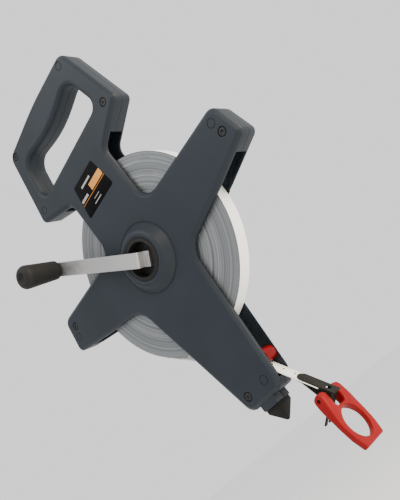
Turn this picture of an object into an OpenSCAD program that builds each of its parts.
// Surveyor's open-frame tape reel, held by its grip with the ground spike down.
// The origin is the centre of the hand grip. +X runs across the arms, +Y to the back, +Z up.

/* [Tape] */
// Outer radius of the wound tape
pack_r = 90; // [84:1:90]
// Width of the tape
tape_w = 13; // [10:1:13]
// Thickness of the pulled-out tape
tape_t = 0.4; // [0.3:0.1:0.5]

/* [Frame] */
// Depth of each frame half from the parting plane
half_depth = 11.5; // [11.5:0.5:12.5]
// Thickness of the face plates
plate_t = 2.2; // [1.8:0.1:2.2]
// Thickness of the side walls
wall_t = 2.6; // [2:0.1:3]
// Height of the hub boss above the front face
boss_h = 8; // [6:1:8]

/* [Crank] */
// Distance from the reel's axis to the knob's axis
crank_r = 106.5; // [104:0.5:110]
// Direction of the crank arm, counted from +X towards +Z
crank_angle = 143.5; // [143.5:0.5:144]
// Length of the knob
knob_len = 39; // [34:1:42]

/* [Tape end] */
// Slope of the tape where it leaves the leg
exit_angle = 56; // [55:1:57]
// Height of the finger ring
ring_len = 44; // [42:1:46]

/* [Hidden] */

$fn = 64;
// Radial gap of turning fits, and the gap between parts that pass each other
running = 0.06;
clear = 0.3;
// Height of the grip's centre above the reel's axis
grip_height = 180;

// Depths along Y, with the parting plane at zero
reel_y = 1.6;
face_y = half_depth;
inner_y = half_depth - plate_t;
pack_half = tape_w / 2 + 0.1;
hub_rim_y = face_y + boss_h;
rim_gap = 0.8;
// The side walls stand outside the face's outline by this much, with a step at the edge
flare = 2.4;
edge_step = 1.2;

// Hub sizes
hub_hole_r = 19;
journal_r = 17.5;
cup_r = 15.3;
cup_floor_y = -10;
drum_face_y = -7.6;
drum_r = 32;
flange_r = 36;
axle_r = 4;
rear_bush_r = 8;
pocket_r = 11;

// Crank strip
strip_w = 13.5;
strip_t = 2;
strip_y = -hub_rim_y - 6.5;
tab_y = -18;
tab_len = 6.5;
rivet_s = -5.4;

// Tape route
tape_n = tape_w / 2;
lower_r = 6;
upper_r = 6;
lower_x = 16.7;
lower_z = -140.1;
roller_pin_r = 1.5;
roller_half = 7;
pin_half = 10.6;
// The side walls end this far from the parting plane where the reel is open to the side
front_rim_y = 8.5;
rear_rim_y = 7.5;
// Lower part of the frame, from corner to corner, where the walls also clear the tape and rollers
leg_room = [[-60, -160], [60, -80]];
// Gap between the wound tape and the side walls round it
pack_gap = 2;
// The pulled-out strip's faces above the lower roller's lead
strip_up = clear + tape_t + clear;
strip_top = strip_up + tape_t;

slate = [0.24, 0.27, 0.30];
steel = [0.70, 0.70, 0.73];
black = [0.13, 0.13, 0.13];
red = [0.80, 0.16, 0.14];
white = [0.90, 0.90, 0.88];

// ---- outlines ---------------------------------------------------------------------------

function unit(v) = v / norm(v);
function left_of(v) = [-v[1], v[0]];
function turn_of(a, b) = a[0] * b[1] - a[1] * b[0];

// Moves a corner of a counter-clockwise outline outwards by d
function grown_corner(p, a, b, d) =
    let (na = -left_of(unit(p - a)), nb = -left_of(unit(b - p)))
    p + d * (na + nb) / (1 + na * nb);

function grown(list, d) = let (n = len(list)) [
    for (i = [0 : n - 1])
        let (c = list[i], a = list[(i + n - 1) % n], b = list[(i + 1) % n],
             p = [c[0], c[1]], pa = [a[0], a[1]], pb = [b[0], b[1]],
             q = grown_corner(p, pa, pb, d),
             convex = turn_of(p - pa, pb - p) > 0)
        [q[0], q[1], max(0.4, convex ? c[2] + d : c[2] - d)]
];

// Rounds corner p between neighbours a and b with radius r
function rounded_corner(p, a, b, r, steps) =
    let (u = unit(a - p), v = unit(b - p),
         half = acos(max(-1, min(1, u * v))) / 2,
         reach = r / tan(half),
         centre = p + unit(u + v) * r / sin(half),
         start = p + u * reach - centre,
         finish = p + v * reach - centre,
         a0 = atan2(start[1], start[0]),
         swing = let (s = atan2(finish[1], finish[0]) - a0) s > 180 ? s - 360 : s < -180 ? s + 360 : s)
    [for (k = [0 : steps]) let (t = a0 + swing * k / steps) centre + r * [cos(t), sin(t)]];

// A closed outline from corners given as [x, z, radius]
function rounded(list, steps = 5) = let (n = len(list)) [
    for (i = [0 : n - 1])
        let (c = list[i], a = list[(i + n - 1) % n], b = list[(i + 1) % n])
        each rounded_corner([c[0], c[1]], [a[0], a[1]], [b[0], b[1]], c[2], steps)
];

// Outline of the face: handle, arms and leg, counter-clockwise from the top right
frame_corners = [
    [62, 191, 9], [0, 194.5, 300], [-62, 191, 9], [-77, 116, 4], [-33, 98.5, 12], [-33, 31, 18],
    [-135, 31, 6.5], [-140.5, 1, 3.5], [-98, -10, 30], [-44, -22, 24],
    [-12.5, -151, 7], [21.5, -150.5, 2.5], [26, -141, 4], [37.5, -23.2, 22],
    [98, -10, 30], [140.5, 1, 3], [135, 31, 6.5], [33, 31, 18], [33, 98.5, 12], [77, 116, 3]
];

hand_hole_corners = [
    [50, 172, 13], [0, 162.5, 120], [-50, 172, 13], [-58.5, 128.5, 9], [58.5, 128.5, 9]
];

collar_corners = [[-4, -159, 1.5], [13, -159, 1.5], [13, -147.5, 1], [-4, -147.5, 1]];

// Where the two halves meet: at the handle, at the arm tips and at the leg's end
closed_zones = [
    [[-95, 104], [95, 210]],
    [[125, -30], [160, 50]],
    [[-160, -30], [-125, 50]],
    [[-30, -170], [8, -118]],
    [[-30, -170], [40, -144.5]]
];

front_screw_spots = [[-55, 185], [66.5, 121.5], [130, 11.5], [-126, 20], [-6, -141.5]];
rear_screw_spots = [[55, 185], [-66.5, 121.5], [128, 23], [-130, 10]];

// ---- helpers ----------------------------------------------------------------------------

// Moves from the reel's axis to the origin at the grip
module at_hub() {
    translate([0, 0, -grip_height]) children();
}

// A flat slab of an outline in XZ, between two depths along Y
module slab(points, y0, y1) {
    translate([0, y1, 0]) rotate([90, 0, 0]) linear_extrude(y1 - y0) polygon(points);
}

// A cylinder along Y
module rod(r, y0, y1, x = 0, z = 0) {
    translate([x, y1, z]) rotate([90, 0, 0]) cylinder(h = y1 - y0, r = r);
}

// A turned ring along Y
module tube(r_out, r_in, y0, y1, x = 0, z = 0) {
    difference() {
        rod(r_out, y0, y1, x, z);
        rod(r_in, y0 - 1, y1 + 1, x, z);
    }
}

// A turned profile of [radius, y] points about the Y axis
module turned(profile) {
    rotate([-90, 0, 0]) rotate_extrude() polygon(profile);
}

// Frame of the crank: its X runs along the arm
module along_crank() {
    rotate([0, -crank_angle, 0]) children();
}

// Frame of the leaving tape: X runs along the tape, Z out of its upper face
exit_dir = [cos(exit_angle), -sin(exit_angle)];
exit_up = [sin(exit_angle), cos(exit_angle)];
tape_x = lower_x + lower_r * exit_up[0];
tape_z = lower_z + lower_r * exit_up[1];

module along_tape() {
    translate([tape_x, reel_y, tape_z]) rotate([0, exit_angle, 0]) children();
}

// ---- frame halves -----------------------------------------------------------------------

// A box between two [x, z] corners and two depths along Y
module block(zone, y0, y1) {
    translate([zone[0][0], y0, zone[0][1]])
        cube([zone[1][0] - zone[0][0], y1 - y0, zone[1][1] - zone[0][1]]);
}

module zone_blocks(y0, y1) {
    for (z = closed_zones) block(z, y0, y1);
}

// One half as moulded, with its face at +Y and its parting plane at zero
module half_shell(pack_face, rim_y) {
    difference() {
        union() {
            slab(rounded(frame_corners), face_y - edge_step, face_y);
            slab(rounded(grown(frame_corners, 1.6)), face_y - plate_t, face_y - edge_step);
            difference() {
                slab(rounded(grown(frame_corners, flare)), rim_y, inner_y);
                slab(rounded(grown(frame_corners, flare - wall_t)), 0, inner_y);
                rod(pack_r + pack_gap, -1, pack_face + rim_gap);
                block(leg_room, -1, pack_face + rim_gap);
            }
            intersection() {
                difference() {
                    slab(rounded(grown(frame_corners, flare)), 0, inner_y);
                    slab(rounded(grown(frame_corners, flare - wall_t)), -1, inner_y);
                }
                zone_blocks(0, face_y);
            }
            slab(rounded(grown(hand_hole_corners, 3)), 0, inner_y);
        }
        slab(rounded(hand_hole_corners), -1, face_y + 1);
        slab(rounded(grown(hand_hole_corners, 1)), inner_y, face_y + 1);
        slab(rounded(grown(hand_hole_corners, flare)), face_y - edge_step, face_y + 1);
    }
}

// Bosses that the frame screws pass through or end in
module screw_bosses(spots) {
    for (s = spots) rod(4.6, 0, inner_y, s[0], s[1]);
}

module front_frame() {
    color(slate) at_hub() difference() {
        union() {
            mirror([0, 1, 0]) {
                half_shell(pack_half - reel_y, front_rim_y);
                screw_bosses(front_screw_spots);
                screw_bosses(rear_screw_spots);
                turned([[hub_hole_r, inner_y], [31, inner_y], [31, face_y + 0.6], [25, face_y + 6.6],
                        [22.5, hub_rim_y], [hub_hole_r, hub_rim_y]]);
                slab(rounded(collar_corners, 2), 0, 9.5);
                for (s = [[lower_x, lower_z], upper_spot]) rod(4, 6, inner_y, s[0], s[1]);
            }
        }
        mouth_slot();
        rod(hub_hole_r, -hub_rim_y - 1, 0);
        screw_holes(front_screw_spots, -1);
        for (s = rear_screw_spots) rod(1.5, -8, 1, s[0], s[1]);
        for (s = concat(rear_screw_spots, [[lower_x, lower_z]]))
            tube(3.9, 3.3, -face_y - 1, -face_y + 0.4, s[0], s[1]);
        spike_pocket();
        roller_pin_holes();
        label_recess();
    }
}

module rear_frame() {
    color(slate) at_hub() difference() {
        union() {
            half_shell(pack_half + reel_y, rear_rim_y);
            screw_bosses(front_screw_spots);
            screw_bosses(rear_screw_spots);
            tube(13.5, rear_bush_r, 2, face_y);
            slab(rounded(collar_corners, 2), 0, 9.5);
        }
        mouth_slot();
        rod(rear_bush_r, 0, face_y + 1);
        rod(pocket_r, 7.3, face_y + 1);
        screw_holes(rear_screw_spots, 1);
        for (s = front_screw_spots) rod(1.5, -1, 8, s[0], s[1]);
        spike_pocket();
        roller_pin_holes();
    }
}

// Recess and clearance hole of each frame screw; side is -1 for the front half
module screw_holes(spots, side) {
    for (s = spots) {
        rod(3.9, min(side * face_y, side * (face_y - 1.8)) - (side < 0 ? 1 : 0),
            max(side * face_y, side * (face_y - 1.8)) + (side > 0 ? 1 : 0), s[0], s[1]);
        rod(1.5, -face_y, face_y, s[0], s[1]);
    }
}

module roller_pin_holes() {
    for (s = [[lower_x, lower_z], upper_spot]) rod(roller_pin_r, -pin_half, pin_half, s[0], s[1]);
}

// Slot in the leg's side walls that the tape leaves through
module mouth_slot() {
    along_tape() translate([-6, -tape_n - 0.7, -1.5]) cube([40, tape_w + 1.4, 6]);
}

// ---- fasteners and small frame parts ----------------------------------------------------

// Pan-head screw whose head sits in the half on the given side
module frame_screw(side, s) {
    difference() {
        union() {
            rod(3.2, side < 0 ? -face_y + 0.3 : face_y - 1.8,
                side < 0 ? -face_y + 1.8 : face_y - 0.3, s[0], s[1]);
            rod(1.5, side < 0 ? -face_y + 1.8 : -7, side < 0 ? 7 : face_y - 1.8, s[0], s[1]);
        }
        translate([s[0], side * (face_y - 0.5), s[1]]) for (a = [45, 135])
            rotate([0, a, 0]) cube([3.6, 1.4, 0.8], center = true);
    }
}

module front_screws() {
    color(black) at_hub() for (s = front_screw_spots) frame_screw(-1, s);
}

module rear_screws() {
    color(black) at_hub() for (s = rear_screw_spots) frame_screw(1, s);
}

spike_x = 4.5;
module spike_pocket() {
    translate([spike_x - 5, -5, -170]) cube([10, 10, 20]);
}

module ground_spike() {
    color(black) at_hub() {
        translate([spike_x - 5, -5, -159]) cube([10, 10, 9]);
        hull() {
            translate([spike_x - 7.5, -8, -162]) cube([15, 16, 3]);
            translate([spike_x - 0.5, -0.5, -171.7]) sphere(r = 2, $fn = 24);
        }
    }
}

label_corners = [[17, 103, 2], [-19, 103, 2], [-25, 70, 2], [21.5, 70, 2]];
module label_recess() {
    slab(rounded(label_corners, 3), -face_y - 1, -face_y + 0.25);
}

module label_plate() {
    color(black) at_hub() slab(rounded(grown(label_corners, -0.1), 3), -face_y - 0.15, -face_y + 0.25);
}

module front_bush() {
    color(black) at_hub() {
        tube(hub_hole_r, journal_r + running, -hub_rim_y + 0.4, -inner_y + 0.2);
        tube(21.5, journal_r + running, -inner_y, drum_face_y - 0.5);
    }
}

module rear_bush() {
    color(white) at_hub() {
        tube(rear_bush_r, axle_r + running, 2, 7.3);
        tube(9.5, axle_r + running, 1.2, 2);
    }
}

module rear_hub_cap() {
    color(slate) at_hub() rod(pocket_r, face_y - 1.1, face_y - 0.1);
}

module roller_pins() {
    color(steel) at_hub() for (s = [[lower_x, lower_z], upper_spot])
        rod(roller_pin_r, -pin_half, pin_half, s[0], s[1]);
}

// ---- tape from the pack to the leg's mouth ----------------------------------------------

// Inner tangent from the pack to the lower roller
roller_gap = norm([lower_x, lower_z]);
roller_bearing = atan2(lower_z, lower_x);
lead_r = lower_r + clear;
lead_out_r = pack_r + clear + tape_t;
lead_dir = roller_bearing + asin((lead_out_r + lead_r) / roller_gap);
lead_start = lead_out_r * [cos(lead_dir - 90), sin(lead_dir - 90)];

// The upper roller bears on the top of the leaving tape
upper_along = -8;
upper_lift = upper_r + strip_top + clear;
upper_spot = [tape_x, tape_z] + upper_along * exit_dir + upper_lift * exit_up;

module tape_lead() {
    turn_from = lead_dir + 90;
    turn_to = 90 - exit_angle;
    rear = [for (k = [0 : 6]) let (a = turn_from + (turn_to - turn_from) * k / 6) [cos(a), sin(a)]];
    tail = [lower_x, lower_z] + 3 * exit_dir;
    color(white) at_hub() slab(concat(
        [lead_start],
        [for (d = rear) [lower_x, lower_z] + lead_r * d],
        [tail + lead_r * exit_up, tail + (lead_r + tape_t) * exit_up],
        [for (k = [6 : -1 : 0]) [lower_x, lower_z] + (lead_r + tape_t) * rear[k]],
        [lead_start + tape_t * [cos(turn_from), sin(turn_from)]]
    ), reel_y - tape_n, reel_y + tape_n);
}

// ---- reel -------------------------------------------------------------------------------

module drum_core() {
    color(black) at_hub() difference() {
        union() {
            translate([0, reel_y, 0]) {
                tube(drum_r, drum_r - 3, -pack_half, pack_half);
                tube(flange_r, drum_r - 3, -pack_half - 1.1, -pack_half);
                tube(flange_r, drum_r - 3, pack_half, pack_half + 0.6);
            }
            rod(drum_r - 2, drum_face_y, -4.6);
            rod(8.5, drum_face_y, 0.8);
            for (a = [0 : 60 : 300]) rotate([0, a, 0]) translate([15, -5, -1]) cube([15, 11, 2]);
        }
        rod(axle_r, -6.6, 1);
        for (a = [30 : 90 : 300]) rotate([0, a, 0]) rod(1.5, -8, -3, 11.5, 0);
        anchor_slot();
    }
}

// Slot in the drum's rim that takes the inner end of the tape
module anchor_slot() {
    rotate([0, 30, 0]) translate([drum_r - 4, reel_y - tape_n - 0.2, -1]) cube([6, tape_w + 0.4, 2]);
}

module tape_anchor_clip() {
    color(steel) at_hub() rotate([0, 30, 0]) translate([drum_r - 2.9, reel_y - tape_n, -0.9])
        cube([2.8, tape_w, 1.8]);
}

module tape_pack() {
    color([0.62, 0.65, 0.66]) at_hub() translate([0, reel_y, 0])
        tube(pack_r, drum_r, -pack_half, pack_half);
}

// Cup that turns in the front bush and carries the crank
module crank_carrier() {
    color(black) at_hub() difference() {
        union() {
            tube(journal_r, cup_r, -hub_rim_y + 0.2, cup_floor_y);
            rod(journal_r, cup_floor_y, drum_face_y);
            along_crank() translate([-13, tab_y + strip_t, -strip_w / 2])
                cube([14, cup_floor_y - tab_y - strip_t + 0.2, strip_w]);
        }
        for (a = [30 : 90 : 300]) rotate([0, a, 0]) {
            rod(1.5, -12, -5, 11.5, 0);
            rod(2.6, -12, -9, 11.5, 0);
        }
        rivet_holes();
    }
}

module carrier_screws() {
    color(steel) at_hub() for (a = [30 : 90 : 300]) rotate([0, a, 0]) {
        rod(1.5, -9, -4.9, 11.5, 0);
        rod(2.6, -9.9, -9, 11.5, 0);
    }
}

module axle() {
    color(steel) at_hub() difference() {
        rod(axle_r, -6.6, 7.7);
        rod(2, 0, 8);
    }
}

module axle_washer() {
    color(steel) at_hub() tube(9, 2, 7.7, 8.6);
}

module axle_screw() {
    color(steel) at_hub() difference() {
        union() {
            rod(2, 0.5, 8.6);
            rod(4, 8.6, 10.1);
        }
        translate([0, 10, 0]) for (a = [0, 90]) rotate([0, a, 0]) cube([5, 1.4, 1], center = true);
    }
}

// ---- crank ------------------------------------------------------------------------------

module rivet_holes() {
    along_crank() for (z = [-3.6, 3.6]) rod(1.2, tab_y - 1, tab_y + strip_t + 4, rivet_s, z);
}

module crank_arm() {
    color(steel) at_hub() difference() {
        along_crank() {
            translate([-2, strip_y, -strip_w / 2]) cube([crank_r + 2, strip_t, strip_w]);
            rod(strip_w / 2, strip_y, strip_y + strip_t, crank_r, 0);
            translate([-2, strip_y, -strip_w / 2]) cube([strip_t, tab_y + strip_t - strip_y, strip_w]);
            translate([-2 - tab_len, tab_y, -strip_w / 2]) cube([tab_len + 1, strip_t, strip_w]);
        }
        rivet_holes();
        along_crank() rod(3, strip_y - 1, strip_y + strip_t + 1, crank_r, 0);
    }
}

module crank_rivets() {
    color(steel) at_hub() along_crank() for (z = [-3.6, 3.6]) {
        rod(1.2, tab_y, tab_y + strip_t + 4, rivet_s, z);
        rod(1.9, tab_y - 0.4, tab_y, rivet_s, z);
    }
}

knob_y = strip_y - 0.5;
module knob_stud() {
    color(steel) at_hub() along_crank() {
        rod(3, knob_y - knob_len + 9, strip_y + strip_t, crank_r, 0);
        rod(5, strip_y + strip_t, strip_y + strip_t + 1.4, crank_r, 0);
    }
}

module knob_retainer() {
    color(steel) at_hub() along_crank()
        tube(5, 3, knob_y - knob_len + 10, knob_y - knob_len + 11.2, crank_r, 0);
}

// Tapered knob with a domed free end
module crank_knob() {
    r_in = 9;
    r_out = 11;
    dome = 6;
    bore = 3 + running;
    arc = [for (k = [0 : 8]) let (a = 90 * k / 8)
        [r_out - dome + dome * cos(a), knob_len - dome + dome * sin(a)]];
    color(black) at_hub() along_crank() translate([crank_r, knob_y, 0]) mirror([0, 1, 0])
        turned(concat([[bore, 0], [r_in - 1.2, 0], [r_in, 1.2]], arc,
                      [[5.4, knob_len], [5.4, knob_len - 11.6], [bore, knob_len - 11.6]]));
}

module knob_cap() {
    color(black) at_hub() along_crank() translate([crank_r, knob_y, 0]) mirror([0, 1, 0])
        turned([[0, knob_len - 7], [5.4, knob_len - 7], [5.4, knob_len], [3.2, knob_len],
                [2.4, knob_len - 1.6], [0, knob_len - 2]]);
}

// ---- guide rollers ----------------------------------------------------------------------

module roller(r, spot) {
    chamfer = 0.6;
    color(red) at_hub() translate([spot[0], reel_y, spot[1]])
        turned([[roller_pin_r + running, -roller_half], [r - chamfer, -roller_half],
                [r, chamfer - roller_half], [r, roller_half - chamfer], [r - chamfer, roller_half],
                [roller_pin_r + running, roller_half]]);
}

module upper_roller() {
    roller(upper_r, upper_spot);
}

module lower_roller() {
    roller(lower_r, [lower_x, lower_z]);
}

// ---- tape end, claw and ring ------------------------------------------------------------

strip_tail = -42;
claw_start = 21;
claw_end = 53;
claw_w = 10.8;
claw_t = 1.2;
rivet_y = 2.6;
hook_s = 50.2;
hook_t = 1.2;
brace_s = 27;
brace_drop = 7.6;
pivot_s = 47;
pivot_n = -3.2;
pivot_pin_r = 1.5;
ear_in = 7;
ring_top_w = 14.6;
ring_pin_half = ring_top_w - 0.8;
ring_end_w = 14;
ring_hole_r = 13;
ring_hole_n = -26.2;
ear_gap_n = -10.5;
// The ring's side below the ear: half width, height from the pivot and corner radius
ring_side = [[17.2, -9, 8], [18.6, -22, 20], [17.4, -34, 16], [ring_end_w, -ring_len, 1.5]];
ring_swing = 7;
ring_half_t = 2.5;

module tape_end_strip() {
    color(white) at_hub() along_tape() difference() {
        translate([strip_tail, -tape_n, strip_up]) cube([claw_start + 20 - strip_tail, tape_w, tape_t]);
        claw_rivet_rods();
    }
}

module claw_rivet_rods() {
    for (y = [-rivet_y, rivet_y]) translate([claw_start + 3.6, y, -2]) cylinder(h = 6, r = 1.2);
}

// Top plate of the claw with its round nose, and the short plate under the tape
module claw_body() {
    color(black) at_hub() along_tape() difference() {
        union() {
            translate([claw_start + 5.4, -claw_w / 2, strip_top])
                cube([claw_end - claw_start - 5.4, claw_w, claw_t]);
            intersection() {
                translate([claw_start + claw_w / 2, 0, strip_top]) cylinder(h = claw_t, r = claw_w / 2);
                translate([claw_start, -claw_w / 2, strip_top]) cube([6, claw_w, claw_t]);
            }
        }
        claw_rivet_rods();
        translate([claw_end - 9, -2.1, strip_top - 1]) cube([4.2, 4.2, 4]);
    }
}

module claw_rivets() {
    color(steel) at_hub() along_tape() for (y = [-rivet_y, rivet_y]) translate([claw_start + 3.6, y, strip_up]) {
        translate([0, 0, -1]) cylinder(h = tape_t + 1 + claw_t, r = 1.2);
        translate([0, 0, -1.5]) cylinder(h = 0.5, r = 1.9);
    }
}

// Bent sheet under the tape: brace, hook plate, two claw prongs and the ring's lugs
module claw_hook() {
    slope = atan2(brace_drop, hook_s - brace_s);
    color(black) at_hub() along_tape() difference() {
        union() {
            translate([claw_start + 2, -claw_w / 2, strip_up - 1])
                cube([brace_s - claw_start - 1.8, claw_w, 1]);
            translate([brace_s, -claw_w / 2, strip_up]) rotate([0, slope, 0]) translate([0, 0, -1])
                cube([(hook_s - brace_s) / cos(slope), claw_w, 1]);
            translate([hook_s, -claw_w / 2, -12]) cube([hook_t, claw_w, strip_top + 12]);
            for (y = [-1.5 - 3.5, 3.5 - 1.5]) translate([hook_s, y, -26]) cube([hook_t, 3, 14.2]);
            for (y = [-claw_w / 2, claw_w / 2 - 1.4])
                translate([pivot_s - 3, y, pivot_n - 3]) cube([hook_s - pivot_s + 3.2, 1.4, 6.6]);
        }
        claw_rivet_rods();
        translate([pivot_s, 20, pivot_n]) rotate([90, 0, 0]) cylinder(h = 40, r = pivot_pin_r);
    }
}

pivot_at = [tape_x, tape_z] + pivot_s * exit_dir + pivot_n * exit_up;

module ring_pin() {
    color(steel) at_hub()
        rod(pivot_pin_r, reel_y - ring_pin_half, reel_y + ring_pin_half, pivot_at[0], pivot_at[1]);
}

// Flat finger ring with two ears on the pin
module finger_ring() {
    color(red) at_hub() translate([pivot_at[0], reel_y, pivot_at[1]])
    rotate([0, -ring_swing, 0]) difference() {
        union() {
            for (s = [-1, 1]) mirror([0, s > 0 ? 0 : 1, 0]) rod(4.6, ear_in, ring_top_w);
            rotate([90, 0, 90]) linear_extrude(2 * ring_half_t, center = true) difference() {
                polygon(rounded(concat(
                    [[ring_top_w, 0, 1], [ear_in, 0, 1], [ear_in, ear_gap_n, 3],
                     [-ear_in, ear_gap_n, 3], [-ear_in, 0, 1], [-ring_top_w, 0, 1]],
                    [for (c = ring_side) [-c[0], c[1], c[2]]],
                    [for (k = [len(ring_side) - 1 : -1 : 0]) ring_side[k]]
                ), 4));
                translate([0, ring_hole_n]) circle(r = ring_hole_r);
            }
        }
        rod(pivot_pin_r + running, -ring_top_w - 1, ring_top_w + 1);
    }
}

// ---- assembly ---------------------------------------------------------------------------

front_frame();
rear_frame();
front_screws();
rear_screws();
ground_spike();
label_plate();
front_bush();
rear_bush();
rear_hub_cap();
roller_pins();
tape_lead();
drum_core();
tape_pack();
tape_anchor_clip();
crank_carrier();
carrier_screws();
axle();
axle_washer();
axle_screw();
crank_arm();
crank_rivets();
knob_stud();
crank_knob();
knob_cap();
knob_retainer();
upper_roller();
lower_roller();
tape_end_strip();
claw_body();
claw_rivets();
claw_hook();
ring_pin();
finger_ring();
